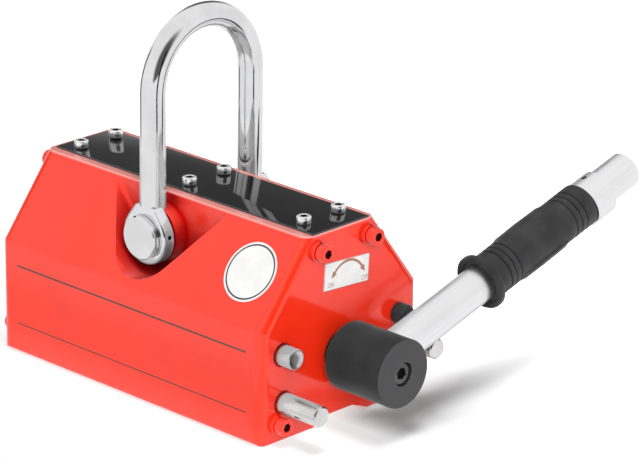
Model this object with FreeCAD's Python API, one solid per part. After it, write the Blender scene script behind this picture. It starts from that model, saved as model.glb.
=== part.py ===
import FreeCAD, Part

# Permanent magnetic lifter: two steel pole blocks round a magnet rotor that a side handle turns ON and OFF.
# Millimetres. +X runs along the body to the handle end, +Z is up, and the origin lies in the plane of the
# pole faces, under the middle of the body. The handle is drawn OFF, resting on its stop pin on the +Y side.
import math
import os

from FreeCAD import Placement, Rotation, Vector

# Body block
body_length = 216.0
body_width = 127.0
body_height = 115.0
top_width = 55.0
shoulder_height = 68.0
shoulder_radius = 4.0
top_edge_radius = 1.5
foot_edge_radius = 2.5
groove_mouth = 46.0
groove_floor = 20.0
groove_depth = 5.0
cover_thickness = 8.0
cover_side_radius = 6.5
cover_edge_radius = 0.8
spacer_thickness = 16.0

# Pocket that each slope has for a shackle eye
pocket_x = 0.6
pocket_wall_inset = 0.7
pocket_depth = 43.7
pocket_radius = 26.0
pocket_side_angle = 38.0
pocket_corner_radius = 3.0

# Shackle and the pins that carry it
shackle_x = -4.0
shackle_pin_inset = 23.5
shackle_bar = 15.0
shackle_leg_spacing = 77.6
shackle_rise = 129.5
eye_diameter = 34.0
eye_thickness = 9.0
eye_edge_radius = 2.0
eye_neck_rise = 18.2
eye_neck_radius = 3.0
eye_hole = 2.6
eye_hole_rise = 8.5
boss_diameter = 34.0
boss_clearance = 0.6
pin_shoulder = 16.0
pin_thread = 14.0
pin_thread_length = 22.0
pin_head = 26.0
pin_head_thickness = 3.7
pin_edge = 0.8

# Black plate on the flat top, and its screws
plate_rear_inset = 4.0
plate_front_inset = 0.8
plate_side_inset = 5.2
plate_thickness = 1.0
plate_corner_radius = 0.5
plate_screw_size = 5.0
plate_screw_length = 9.0
plate_screw_end_inset = 8.5
plate_screw_side_inset = 8.5

# Screws of the end covers
cover_screw_size = 6.0
cover_screw_length = 26.0
cover_screw_top_inset = 9.0
cover_screw_top_side_inset = 7.3
cover_screw_foot_inset = 11.6
cover_screw_foot_side_inset = 12.0
washer_diameter = 12.0
washer_thickness = 1.6
spring_washer_diameter = 11.4
spring_washer_thickness = 1.6
spring_washer_slit = 1.2
spot_face_diameter = 12.6

# Rotor
rotor_height = 40.5
rotor_diameter = 63.4
rotor_air_gap = 0.3
rotor_end_play = 2.0
rotor_disc_thickness = 8.0
magnet_thickness = 20.0
magnet_width = 56.0
magnet_count = 4
magnet_gap = 0.4
rotor_screw_size = 5.0
rotor_screw_length = 16.0
rotor_screw_height = 20.0
rotor_screw_row = 12.0
shaft_diameter = 20.0
shaft_reach = 14.0
bush_wall = 3.0
rear_web = 2.0

# Hub and handle, drawn along +Y and then turned up to the rest angle
handle_rest_angle = 16.7
handle_turn = 164.0
handle_offset = 27.0
hub_diameter = 40.2
hub_stand_off = 6.5
hub_length = 42.0
hub_edge_radius = 1.5
hub_screw_size = 8.0
hub_screw_length = 40.0
hub_recess = 1.5
key_width = 6.0
key_height = 6.0
key_length = 7.0
tube_diameter = 22.0
tube_wall = 2.5
tube_start = 9.0
tube_end = 222.8
tube_edge = 1.0
plug_length = 10.0
fixing_hole_diameter = 3.6
fixing_hole_inset = 9.2
fixing_hole_lean = 13.0

# Grip and the collar behind it
grip_length = 92.2
grip_tip_inset = 42.0
grip_diameter = 27.0
grip_flange_diameter = 34.0
grip_flange_thickness = 5.0
grip_flange_dish = 2.0
grip_panel_diameter = 28.6
grip_panel_inset = 26.0
grip_panel_ramp = 3.0
grip_groove_depth = 0.9
grip_groove_width = 1.2
grip_groove_pitch = 4.5
grip_groove_count = 3
grip_groove_inset = 8.6
grip_groove_tip_inset = 9.3
collar_diameter = 27.2
collar_length = 16.2
collar_drop = 1.2

# Stop pins, spring button and buffer on the front cover
stop_pin_diameter = 12.0
stop_pin_proud = 30.0
stop_pin_depth = 16.0
stop_pin_edge = 0.8
stop_gap = 0.3
on_stop_reach = 46.0
off_stop_reach = 45.0
button_offset = 46.7
button_height = 51.5
button_diameter = 12.0
button_proud = 11.0
button_flange = 15.0
button_flange_thickness = 3.0
button_tail = 5.6
button_tail_length = 11.0
button_edge = 0.5
button_dish = 10.4
button_dish_depth = 0.8
button_well = 16.0
button_well_depth = 34.0
spring_wire = 1.3
spring_diameter = 12.0
spring_turns = 5
buffer_diameter = 12.0
buffer_proud = 9.0
buffer_dome = 2.0
buffer_stud = 6.0
buffer_stud_length = 16.0
hole_mouth = 1.1

# Socket cap screws, as shares of the thread's size where a name says share
screw_head_share = 1.5
screw_head_extra = 1.0
screw_edge_share = 0.1
socket_width_share = 0.8
socket_depth_share = 0.5

# Clearances
running_clearance = 0.05
fit_clearance = 0.03
thread_clearance = 0.05
side_clearance = 0.3
screw_hole_clearance = 0.3

# Sizes that follow from the ones above
front_face = body_length / 2
front_seat = front_face - cover_thickness
rear_face = -front_face
rear_seat = -front_seat
bore_radius = rotor_diameter / 2 + rotor_air_gap
washer_stack = washer_thickness + spring_washer_thickness
plate_rear = rear_face + plate_rear_inset
plate_front = front_face - plate_front_inset
plate_width = top_width - 2 * plate_side_inset
pocket_wall = top_width / 2 + pocket_wall_inset
pocket_floor = body_height - pocket_depth
shackle_pin_height = body_height - shackle_pin_inset
leg_y = shackle_leg_spacing / 2
eye_outer = leg_y + shackle_bar / 2
eye_inner = eye_outer - eye_thickness
boss_face = eye_inner - side_clearance
bend_height = shackle_pin_height + shackle_rise - shackle_bar / 2 - leg_y
rotor_front = front_seat - rotor_end_play
hub_back = front_face + hub_stand_off
hub_front = hub_back + hub_length
handle_x = front_face + handle_offset
shaft_end = front_face + shaft_reach
tube_radius = tube_diameter / 2
grip_end = tube_end - grip_tip_inset
grip_start = grip_end - grip_length
axis_x = Vector(1, 0, 0)
axis_y = Vector(0, 1, 0)
axis_z = Vector(0, 0, 1)


def rod(diameter, start, end):
    """Round bar between two points."""
    along = end - start
    return Part.makeCylinder(diameter / 2, along.Length, start, along)


def block(low, high):
    """Box between two corners."""
    size = high - low
    return Part.makeBox(size.x, size.y, size.z, low)


def turned(profile, base, direction):
    """Turned piece: profile holds (distance from base along the axis, diameter) pairs."""
    points = [Vector(diameter / 2, 0, along) for along, diameter in profile]
    outline = Part.makePolygon(points + points[:1])
    piece = Part.Face(outline).revolve(Vector(), axis_z, 360)
    piece.Placement = Placement(base, Rotation(axis_z, direction))
    return piece


def corner_arc(before, point, after, radius):
    """Start, middle and end of the arc that rounds a corner between its neighbours."""
    back = (before - point).normalize()
    on = (after - point).normalize()
    half = back.getAngle(on) / 2
    reach = radius / math.tan(half)
    middle = (back + on).normalize() * (radius / math.sin(half) - radius)
    return point + back * reach, point + middle, point + on * reach


def rounded_outline(corners):
    """Closed wire through (point, radius) corners, each rounded to its radius."""
    edges = []
    count = len(corners)
    ends = []
    for index, (point, radius) in enumerate(corners):
        ends.append(corner_arc(corners[index - 1][0], point, corners[(index + 1) % count][0], radius))
    for index, (enter, middle, leave) in enumerate(ends):
        if (leave - enter).Length > 0:
            edges.append(Part.Arc(enter, middle, leave).toShape())
        edges.append(Part.LineSegment(leave, ends[(index + 1) % count][0]).toShape())
    return Part.Wire(edges)


def body_bar(start, end):
    """Bar of the body's whole section between two places along X."""
    half_width = body_width / 2
    half_top = top_width / 2
    right = [
        (groove_floor / 2, groove_depth, 0),
        (groove_mouth / 2, 0, 0),
        (half_width, 0, foot_edge_radius),
        (half_width, shoulder_height, shoulder_radius),
        (half_top, body_height, top_edge_radius),
    ]
    left = [(-y, z, radius) for y, z, radius in reversed(right)]
    corners = [(Vector(start, y, z), radius) for y, z, radius in right + left]
    return Part.Face(rounded_outline(corners)).extrude(axis_x * (end - start))


def hex_socket(across_flats, depth, mouth, inward):
    """Hexagonal hole for a key."""
    corner = across_flats / 2 / math.cos(math.pi / 6)
    points = []
    for step in range(6):
        angle = math.pi / 3 * step
        points.append(Vector(corner * math.cos(angle), corner * math.sin(angle), 0))
    prism = Part.Face(Part.makePolygon(points + points[:1])).extrude(axis_z * depth)
    prism.Placement = Placement(mouth, Rotation(axis_z, inward))
    return prism


def head_diameter(size):
    """Head diameter of a socket cap screw."""
    return screw_head_share * size + screw_head_extra


def cap_screw(size, length, seat, inward):
    """Socket cap screw whose head stands on seat and whose thread points inward."""
    edge = screw_edge_share * size
    head = head_diameter(size)
    profile = [
        (-size, 0),
        (-size, head - 2 * edge),
        (edge - size, head),
        (0, head),
        (0, size),
        (length, size),
        (length, 0),
    ]
    socket = hex_socket(socket_width_share * size, socket_depth_share * size, seat - inward * size, inward)
    return turned(profile, seat, inward).cut(socket)


def pocket(side):
    """Space that a slope leaves for the shackle eye: a V with a round floor, open above and to the side."""
    slant = math.radians(pocket_side_angle)
    centre = Vector(pocket_x, side * pocket_wall, pocket_floor + pocket_radius)
    touch = Vector(math.cos(slant), 0, -math.sin(slant)) * pocket_radius
    rise = body_height + pocket_radius - (centre.z + touch.z)
    climb = Vector(math.sin(slant), 0, math.cos(slant)) * (rise / math.cos(slant))
    flip = Vector(-2 * touch.x, 0, 0)
    right = centre + touch
    left = right + flip
    right_top = right + climb
    left_top = left + Vector(-climb.x, 0, climb.z)
    floor = centre - axis_z * pocket_radius
    edges = [
        Part.LineSegment(left_top, left).toShape(),
        Part.Arc(left, floor, right).toShape(),
        Part.LineSegment(right, right_top).toShape(),
        Part.LineSegment(right_top, left_top).toShape(),
    ]
    space = Part.Face(Part.Wire(edges)).extrude(axis_y * (side * body_width / 2))
    back = [edge for edge in space.Edges if edge.BoundBox.YLength < 1e-6]
    back = [edge for edge in back if abs(edge.BoundBox.YMin - side * pocket_wall) < 1e-6]
    low = [edge for edge in back if edge.BoundBox.ZMin < right_top.z - 1e-6]
    return space.makeFillet(pocket_corner_radius, low)


def cover_screw_places():
    """Places of an end cover's screws, as (y, z)."""
    top_row = top_width / 2 - cover_screw_top_side_inset
    foot_row = body_width / 2 - cover_screw_foot_side_inset
    top = [(side * top_row, body_height - cover_screw_top_inset) for side in (-1, 1)]
    foot = [(side * foot_row, cover_screw_foot_inset) for side in (-1, 1)]
    return top + foot


def plate_screw_places():
    """Places of the black plate's screws, as (x, y)."""
    end = front_seat - plate_screw_end_inset
    row = plate_width / 2 - plate_screw_side_inset
    return [(x, y) for x in (-end, 0, end) for y in (-row, row)]


def stop_place(turn, reach, leading):
    """Centre of the stop pin that the tube meets after a turn, on the leading or the trailing side."""
    angle = math.radians(handle_rest_angle + turn)
    apart = leading * (tube_radius + stop_pin_diameter / 2 + stop_gap)
    y = reach * math.cos(angle) - apart * math.sin(angle)
    z = rotor_height + reach * math.sin(angle) + apart * math.cos(angle)
    return y, z


def on_stop_place():
    return stop_place(handle_turn, on_stop_reach, 1)


def off_stop_place():
    return stop_place(0, off_stop_reach, -1)


def front_holes(y, z, diameter, depth):
    """Hole from the front face through the cover into a pole block."""
    return rod(diameter, Vector(front_seat - depth, y, z), Vector(front_face, y, z))


def fixed_holes():
    """Holes that the stop pins, the buffer and the button take in the front cover and the pole blocks."""
    pin_hole = stop_pin_diameter + 2 * fit_clearance
    stud_hole = buffer_stud + 2 * thread_clearance
    button_hole = button_diameter + 2 * running_clearance
    well_end = Vector(front_seat, -button_offset, button_height)
    return [
        front_holes(*on_stop_place(), pin_hole, stop_pin_depth),
        front_holes(*off_stop_place(), pin_hole, stop_pin_depth),
        front_holes(button_offset, button_height, stud_hole, buffer_stud_length - cover_thickness),
        front_holes(-button_offset, button_height, button_hole, 0),
        rod(button_well, well_end - axis_x * button_well_depth, well_end),
    ]


def pole_block(side):
    """Steel pole block on one side of the rotor, with its pocket, its boss and its tapped holes."""
    inner = spacer_thickness / 2
    edges = sorted((side * inner, side * body_width))
    half = block(Vector(rear_seat, edges[0], 0), Vector(front_seat, edges[1], body_height))
    piece = body_bar(rear_seat, front_seat).common(half)
    wall = Vector(shackle_x, side * pocket_wall, shackle_pin_height)
    face = Vector(shackle_x, side * boss_face, shackle_pin_height)
    root = wall - axis_y * (side * pocket_corner_radius)
    piece = piece.cut(pocket(side)).fuse(rod(boss_diameter, root, face))
    bore = rod(2 * bore_radius, Vector(rear_seat, 0, rotor_height), Vector(front_seat, 0, rotor_height))
    thread_end = face - axis_y * (side * pin_thread_length)
    cuts = [bore, rod(pin_thread + 2 * thread_clearance, thread_end, face)]
    for x, y in plate_screw_places():
        depth = plate_screw_length - plate_thickness
        top = Vector(x, y, body_height)
        cuts.append(rod(plate_screw_size + 2 * thread_clearance, top - axis_z * depth, top))
    rear_tip = rear_seat + cover_screw_length - cover_thickness
    front_tip = washer_stack - rear_tip
    for y, z in cover_screw_places():
        for seat, tip in ((front_seat, front_tip), (rear_seat, rear_tip)):
            hole = rod(cover_screw_size + 2 * thread_clearance, Vector(seat, y, z), Vector(tip, y, z))
            cuts.append(hole)
    return piece.cut(cuts + fixed_holes()).removeSplitter()


def spacer(low, high):
    """Strip between the pole blocks that carries no flux, hollowed where it meets the rotor bore."""
    half = spacer_thickness / 2
    strip = block(Vector(rear_seat, -half, low), Vector(front_seat, half, high))
    start = Vector(rear_seat, 0, rotor_height)
    return strip.cut(rod(2 * bore_radius, start, Vector(front_seat, 0, rotor_height)))


def edge_waste(start, end, back, inward, radius):
    """What rounding takes off a straight edge whose two faces lie back and inward of it."""
    middle = start + (back + inward) * (radius * (1 - math.sqrt(0.5)))
    edges = [
        Part.LineSegment(start + inward * radius, start).toShape(),
        Part.LineSegment(start, start + back * radius).toShape(),
        Part.Arc(start + back * radius, middle, start + inward * radius).toShape(),
    ]
    return Part.Face(Part.Wire(edges)).extrude(end - start)


def cover(face, seat):
    """End cover with the body's outline, well rounded sides and a fine rounding along top and feet."""
    piece = body_bar(min(face, seat), max(face, seat))
    back = axis_x * math.copysign(1, seat - face)
    half_width = body_width / 2
    half_top = top_width / 2
    waste = []
    for side in (-1, 1):
        shoulder = Vector(face, side * half_width, shoulder_height)
        slope = Vector(face, side * half_top, body_height) - shoulder
        square = Vector(0, -side * slope.z, side * slope.y).normalize()
        low = Vector(face, side * half_width, -cover_side_radius)
        high = Vector(face, side * half_width, body_height)
        waste.append(edge_waste(low, high, back, axis_y * -side, cover_side_radius))
        waste.append(edge_waste(shoulder - slope, shoulder + slope * 2, back, square, cover_side_radius))
        mouth = Vector(face, side * groove_mouth / 2, 0)
        foot = Vector(face, side * half_width, 0)
        waste.append(edge_waste(mouth, foot, back, axis_z, cover_edge_radius))
    left = Vector(face, -half_width, body_height)
    right = Vector(face, half_width, body_height)
    waste.append(edge_waste(left, right, back, -axis_z, cover_edge_radius))
    holes = []
    for y, z in cover_screw_places():
        hole = cover_screw_size + 2 * screw_hole_clearance
        holes.append(rod(hole, Vector(seat, y, z), Vector(face, y, z)))
    return piece.cut(waste).cut(holes)


def bush_diameter():
    return shaft_diameter + 2 * (running_clearance + bush_wall)


def hole_chamfer(y, z, diameter):
    """Chamfered mouth of a hole in the front face."""
    mouth = Vector(front_face, y, z)
    return Part.makeCone(diameter / 2 + hole_mouth, diameter / 2, hole_mouth, mouth, -axis_x)


def front_cover():
    piece = cover(front_face, front_seat)
    bush_hole = bush_diameter() + 2 * fit_clearance
    hole = rod(bush_hole, Vector(front_seat, 0, rotor_height), Vector(front_face, 0, rotor_height))
    chamfers = [
        hole_chamfer(*on_stop_place(), stop_pin_diameter),
        hole_chamfer(*off_stop_place(), stop_pin_diameter),
        hole_chamfer(-button_offset, button_height, button_diameter),
    ]
    return piece.cut([hole] + fixed_holes() + chamfers)


def rear_cover():
    """End cover without a handle, with spot faces that sink the washers."""
    piece = cover(rear_face, rear_seat)
    bush_hole = bush_diameter() + 2 * fit_clearance
    holes = [rod(bush_hole, Vector(rear_seat, 0, rotor_height), Vector(rear_face + rear_web, 0, rotor_height))]
    for y, z in cover_screw_places():
        seat = Vector(rear_face + washer_stack, y, z)
        holes.append(rod(spot_face_diameter, seat, Vector(rear_face, y, z)))
    return piece.cut(holes)


def bush(start, end):
    """Plain bearing for the rotor shaft."""
    low = Vector(start, 0, rotor_height)
    high = Vector(end, 0, rotor_height)
    return rod(bush_diameter(), low, high).cut(rod(shaft_diameter + 2 * running_clearance, low, high))


def top_plate():
    half = plate_width / 2
    ends = ((plate_rear, -half), (plate_front, -half), (plate_front, half), (plate_rear, half))
    corners = [(Vector(x, y, body_height), plate_corner_radius) for x, y in ends]
    plate = Part.Face(rounded_outline(corners)).extrude(axis_z * plate_thickness)
    holes = []
    for x, y in plate_screw_places():
        low = Vector(x, y, body_height)
        holes.append(rod(plate_screw_size + 2 * screw_hole_clearance, low, low + axis_z * plate_thickness))
    return plate.cut(holes)


def plate_screws():
    seat = body_height + plate_thickness
    places = plate_screw_places()
    return [cap_screw(plate_screw_size, plate_screw_length, Vector(x, y, seat), -axis_z) for x, y in places]


def cover_stack(face, outward):
    """Washers, spring washers and screws of one end cover, as three lists."""
    washers = []
    springs = []
    screws = []
    hole = cover_screw_size + 2 * screw_hole_clearance
    out = axis_x * outward
    for y, z in cover_screw_places():
        seat = Vector(face, y, z)
        middle = seat + out * washer_thickness
        top = middle + out * spring_washer_thickness
        washers.append(rod(washer_diameter, seat, middle).cut(rod(hole, seat, middle)))
        ring = rod(spring_washer_diameter, middle, top).cut(rod(hole, middle, top))
        slit = Part.makeBox(washer_diameter, spring_washer_slit, washer_diameter)
        slit.translate(middle - Vector(washer_diameter / 2, spring_washer_slit / 2, 0))
        springs.append(ring.cut(slit))
        screws.append(cap_screw(cover_screw_size, cover_screw_length, top, -out))
    return washers, springs, screws


def eye_plate(centre, outward):
    """Flat drop-shaped eye, its neck as wide as the bar, from its inner face outwards."""
    radius = eye_diameter / 2
    half = shackle_bar / 2
    lean = math.atan2(eye_neck_rise, half) - math.acos(radius / math.hypot(half, eye_neck_rise))
    touch = Vector(radius * math.cos(lean), 0, radius * math.sin(lean))
    top = Vector(half, 0, eye_neck_rise)
    points = [touch, *corner_arc(touch, top, Vector(-half, 0, eye_neck_rise), eye_neck_radius)]
    right = [centre + point for point in points]
    left = [centre + Vector(-point.x, 0, point.z) for point in points]
    edges = [
        Part.Arc(left[0], centre - axis_z * radius, right[0]).toShape(),
        Part.LineSegment(right[0], right[1]).toShape(),
        Part.Arc(right[1], right[2], right[3]).toShape(),
        Part.LineSegment(right[3], left[3]).toShape(),
        Part.Arc(left[3], left[2], left[1]).toShape(),
        Part.LineSegment(left[1], left[0]).toShape(),
    ]
    plate = Part.Face(Part.Wire(edges)).extrude(outward * eye_thickness)
    rims = [edge for edge in plate.Edges if edge.BoundBox.YLength < 1e-6]
    return plate.makeFillet(eye_edge_radius, rims)


def shackle():
    """Round bar bent to a U, with a flat eye on each leg."""
    pin_axis = Vector(shackle_x, 0, shackle_pin_height)
    bend = Vector(shackle_x, 0, bend_height)
    section = Part.Wire(Part.makeCircle(shackle_bar / 2, bend - axis_y * leg_y, axis_z))
    piece = Part.Face(section).revolve(bend, axis_x, -180)
    relief = boss_diameter + 2 * boss_clearance
    rise = math.radians(eye_hole_rise)
    hole_way = Vector(math.cos(rise), 0, math.sin(rise))
    holes = []
    for side in (-1, 1):
        foot = pin_axis + axis_y * (side * leg_y)
        inner = pin_axis + axis_y * (side * eye_inner)
        outer = pin_axis + axis_y * (side * eye_outer)
        leg = rod(shackle_bar, foot, bend + axis_y * (side * leg_y))
        eye = eye_plate(inner, axis_y * side)
        piece = piece.fuse(leg.cut(rod(relief, pin_axis, inner))).fuse(eye)
        middle = (inner + outer) / 2
        holes.append(rod(pin_shoulder + 2 * running_clearance, inner, outer))
        holes.append(rod(eye_hole, middle, middle + hole_way * eye_diameter))
    return piece.cut(holes).removeSplitter()


def shackle_pin(side):
    """Headed pin screwed into the boss; its shoulder carries the eye."""
    seat = Vector(shackle_x, side * boss_face, shackle_pin_height)
    under_head = eye_thickness + 2 * side_clearance
    top = under_head + pin_head_thickness
    profile = [
        (-pin_thread_length, 0),
        (-pin_thread_length, pin_thread),
        (0, pin_thread),
        (0, pin_shoulder),
        (under_head, pin_shoulder),
        (under_head, pin_head),
        (top - pin_edge, pin_head),
        (top, pin_head - 2 * pin_edge),
        (top, 0),
    ]
    return turned(profile, seat, axis_y * side)


def as_stored(pieces):
    """Turns pieces that are drawn with the handle level up to the handle's rest angle."""
    for piece in pieces:
        piece.rotate(Vector(0, 0, rotor_height), axis_x, handle_rest_angle)
    return pieces


def rotor_screw_places():
    return [(side * rotor_screw_row, up * rotor_screw_height) for side in (-1, 1) for up in (-1, 1)]


def rotor_pole(up):
    """Steel segment on one side of the magnets."""
    long = rotor_front - rotor_disc_thickness
    start = Vector(-long, 0, rotor_height)
    end = Vector(long, 0, rotor_height)
    near = rotor_height + up * magnet_thickness / 2
    far = rotor_height + up * rotor_diameter
    low = Vector(-long, -rotor_diameter, min(near, far))
    high = Vector(long, rotor_diameter, max(near, far))
    piece = rod(rotor_diameter, start, end).common(block(low, high))
    holes = []
    depth = rotor_screw_length - (rotor_disc_thickness - rotor_screw_size)
    for y, z in rotor_screw_places():
        for outward in (-1, 1):
            mouth = Vector(outward * long, y, rotor_height + z)
            bottom = mouth - axis_x * (outward * depth)
            holes.append(rod(rotor_screw_size + 2 * thread_clearance, bottom, mouth))
    return piece.cut(holes)


def rotor_magnets():
    """Row of magnet blocks between the rotor poles."""
    long = rotor_front - rotor_disc_thickness
    step = 2 * long / magnet_count
    blocks = []
    for index in range(magnet_count):
        start = -long + index * step + magnet_gap / 2
        low = Vector(start, -magnet_width / 2, rotor_height - magnet_thickness / 2)
        high = low + Vector(step - magnet_gap, magnet_width, magnet_thickness)
        blocks.append(block(low, high))
    return blocks


def rotor_disc(outward, shaft_tip):
    """End disc of the rotor with its shaft, bored for the screws that hold the rotor poles."""
    centre = Vector(0, 0, rotor_height)
    inner = centre + axis_x * (outward * (rotor_front - rotor_disc_thickness))
    outer = centre + axis_x * (outward * rotor_front)
    piece = rod(rotor_diameter, inner, outer).fuse(rod(shaft_diameter, inner, centre + axis_x * shaft_tip))
    holes = []
    for y, z in rotor_screw_places():
        place = Vector(0, y, z)
        head_seat = outer - axis_x * (outward * rotor_screw_size) + place
        holes.append(rod(rotor_screw_size + 2 * screw_hole_clearance, inner + place, outer + place))
        head_hole = head_diameter(rotor_screw_size) + 2 * screw_hole_clearance
        holes.append(rod(head_hole, head_seat, outer + place))
    return piece.cut(holes)


def rotor_screws():
    screws = []
    for outward in (-1, 1):
        seat_x = outward * (rotor_front - rotor_screw_size)
        for y, z in rotor_screw_places():
            seat = Vector(seat_x, y, rotor_height + z)
            screws.append(cap_screw(rotor_screw_size, rotor_screw_length, seat, axis_x * -outward))
    return screws


def key_block(clearance):
    """Key between shaft and hub, or with a clearance the space that it takes."""
    top = rotor_height + shaft_diameter / 2 + key_height / 2
    low = Vector(shaft_end - key_length, -key_width / 2, top - key_height)
    high = Vector(shaft_end, key_width / 2, top)
    room = Vector(clearance, clearance, clearance)
    return block(low - room, high + room)


def hub_screw_seat():
    return hub_front - hub_screw_size - hub_recess


def front_shaft():
    centre = Vector(0, 0, rotor_height)
    piece = rotor_disc(1, shaft_end)
    thread_end = hub_screw_seat() - hub_screw_length
    inner = centre + axis_x * thread_end
    outer = centre + axis_x * shaft_end
    thread = rod(hub_screw_size + 2 * thread_clearance, inner, outer)
    return piece.cut([thread, key_block(fit_clearance)])


def rear_shaft():
    return rotor_disc(-1, rear_face + rear_web + side_clearance)


def along_handle(distance):
    """Point on the handle's axis at a distance from the rotor's axis."""
    return Vector(handle_x, distance, rotor_height)


def hub():
    """Round hub, bored for the shaft, its screw and the handle tube."""
    centre = Vector(0, 0, rotor_height)
    back = centre + axis_x * hub_back
    front = centre + axis_x * hub_front
    piece = rod(hub_diameter, back, front)
    rims = [edge for edge in piece.Edges if isinstance(edge.Curve, Part.Circle)]
    piece = piece.makeFillet(hub_edge_radius, rims)
    head_hole = head_diameter(hub_screw_size) + 4 * screw_hole_clearance
    cuts = [
        rod(shaft_diameter + 2 * fit_clearance, back, centre + axis_x * shaft_end),
        rod(hub_screw_size + 2 * screw_hole_clearance, back, front),
        rod(head_hole, centre + axis_x * hub_screw_seat(), front),
        rod(tube_diameter + 2 * fit_clearance, along_handle(tube_start), along_handle(hub_diameter)),
        key_block(fit_clearance),
    ]
    return piece.cut(cuts)


def hub_screw():
    seat = Vector(hub_screw_seat(), 0, rotor_height)
    return cap_screw(hub_screw_size, hub_screw_length, seat, -axis_x)


def fixing_hole():
    """Small hole in the top of the tube and the collar, leaning towards the body."""
    lean = math.radians(fixing_hole_lean)
    outward = Vector(-math.sin(lean), 0, math.cos(lean))
    start = along_handle(grip_end + fixing_hole_inset)
    return rod(fixing_hole_diameter, start, start + outward * tube_diameter)


def handle_tube():
    bore = tube_diameter - 2 * tube_wall
    profile = [
        (tube_start, bore),
        (tube_start, tube_diameter),
        (tube_end - tube_edge, tube_diameter),
        (tube_end, tube_diameter - 2 * tube_edge),
        (tube_end, bore),
    ]
    return turned(profile, along_handle(0), axis_y).cut(fixing_hole())


def tube_plug():
    bore = tube_diameter - 2 * tube_wall - 2 * fit_clearance
    profile = [(tube_end - plug_length, 0), (tube_end - plug_length, bore), (tube_end, bore), (tube_end, 0)]
    return turned(profile, along_handle(0), axis_y)


def groove_profile(first):
    """Row of grooves in the grip, the first one starting at a distance along the handle."""
    low = grip_diameter - 2 * grip_groove_depth
    points = []
    for index in range(grip_groove_count):
        start = first + index * grip_groove_pitch
        end = start + grip_groove_width
        points += [(start, grip_diameter), (start, low), (end, low), (end, grip_diameter)]
    return points


def grip():
    """Moulded grip: dished flange, two rows of grooves and a raised palm panel with tapered ends."""
    bore = tube_diameter + 2 * fit_clearance
    lip = grip_flange_thickness / 4
    flange_end = grip_start + grip_flange_thickness
    row = (grip_groove_count - 1) * grip_groove_pitch + grip_groove_width
    panel_start = grip_start + grip_panel_inset
    panel_end = grip_end - grip_panel_inset
    profile = [
        (grip_start + grip_flange_dish, bore),
        (grip_start + grip_flange_dish, grip_diameter),
        (grip_start, grip_flange_diameter - 4 * lip),
        (grip_start, grip_flange_diameter - 2 * lip),
        (grip_start + lip, grip_flange_diameter),
        (flange_end - lip, grip_flange_diameter),
        (flange_end, grip_flange_diameter - 2 * lip),
        (flange_end + lip, grip_diameter),
    ]
    profile += groove_profile(flange_end + grip_groove_inset)
    profile += [
        (panel_start, grip_diameter),
        (panel_start + grip_panel_ramp, grip_panel_diameter),
        (panel_end - grip_panel_ramp, grip_panel_diameter),
        (panel_end, grip_diameter),
    ]
    profile += groove_profile(grip_end - grip_groove_tip_inset - row)
    profile += [(grip_end - lip, grip_diameter), (grip_end, grip_diameter - 2 * lip), (grip_end, bore)]
    return turned(profile, along_handle(0), axis_y)


def handle_collar():
    """Collar behind the grip, bored off centre so that it stands proud under the tube."""
    drop = axis_z * collar_drop
    start = along_handle(grip_end)
    end = along_handle(grip_end + collar_length)
    ring = rod(collar_diameter, start - drop, end - drop)
    return ring.cut([rod(tube_diameter + 2 * fit_clearance, start, end), fixing_hole()])


def stop_pin(y, z):
    tip = stop_pin_depth + cover_thickness + stop_pin_proud
    narrow = stop_pin_diameter - 2 * stop_pin_edge
    profile = [
        (0, 0),
        (0, stop_pin_diameter),
        (tip - stop_pin_edge, stop_pin_diameter),
        (tip, narrow),
        (tip, 0),
    ]
    return turned(profile, Vector(front_seat - stop_pin_depth, y, z), axis_x)


def spring_button():
    """Button that a spring pushes out through the cover, with a flange that keeps it in."""
    tip = cover_thickness + button_proud
    profile = [
        (-button_flange_thickness - button_tail_length, 0),
        (-button_flange_thickness - button_tail_length, button_tail),
        (-button_flange_thickness, button_tail),
        (-button_flange_thickness, button_flange),
        (0, button_flange),
        (0, button_diameter),
        (tip - button_edge, button_diameter),
        (tip, button_diameter - 2 * button_edge),
        (tip, button_dish),
        (tip - button_dish_depth, button_dish - 2 * button_dish_depth),
        (tip - button_dish_depth, 0),
    ]
    return turned(profile, Vector(front_seat, -button_offset, button_height), axis_x)


def button_spring():
    """Coil spring of square wire between the bottom of the well and the button's flange."""
    room = button_well_depth - button_flange_thickness
    rise = room - spring_wire - 2 * fit_clearance
    outer = spring_diameter / 2
    inner = outer - spring_wire
    path = Part.makeHelix(rise / spring_turns, rise, outer - spring_wire / 2)
    low = -spring_wire / 2
    high = spring_wire / 2
    corners = [Vector(inner, 0, low), Vector(outer, 0, low), Vector(outer, 0, high), Vector(inner, 0, high)]
    section = Part.makePolygon(corners + corners[:1])
    coil = Part.Wire(path.Edges).makePipeShell([section], True, True)
    base = Vector(front_seat - button_well_depth + fit_clearance + high, -button_offset, button_height)
    coil.Placement = Placement(base, Rotation(axis_z, axis_x))
    return coil


def buffer():
    """Rubber buffer with a domed end on a moulded stud."""
    shoulder = buffer_stud_length
    tip = shoulder + buffer_proud
    profile = [
        (0, 0),
        (0, buffer_stud),
        (shoulder, buffer_stud),
        (shoulder, buffer_diameter),
        (tip - buffer_dome, buffer_diameter),
        (tip - buffer_dome / 3, buffer_diameter - buffer_dome),
        (tip, buffer_diameter - 3 * buffer_dome),
        (tip, 0),
    ]
    return turned(profile, Vector(front_face - shoulder, button_offset, button_height), axis_x)


def write(name, pieces):
    shape = pieces[0] if len(pieces) == 1 else Part.makeCompound(pieces)
    shape.exportStep(os.path.join("parts", name + ".step"))


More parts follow.
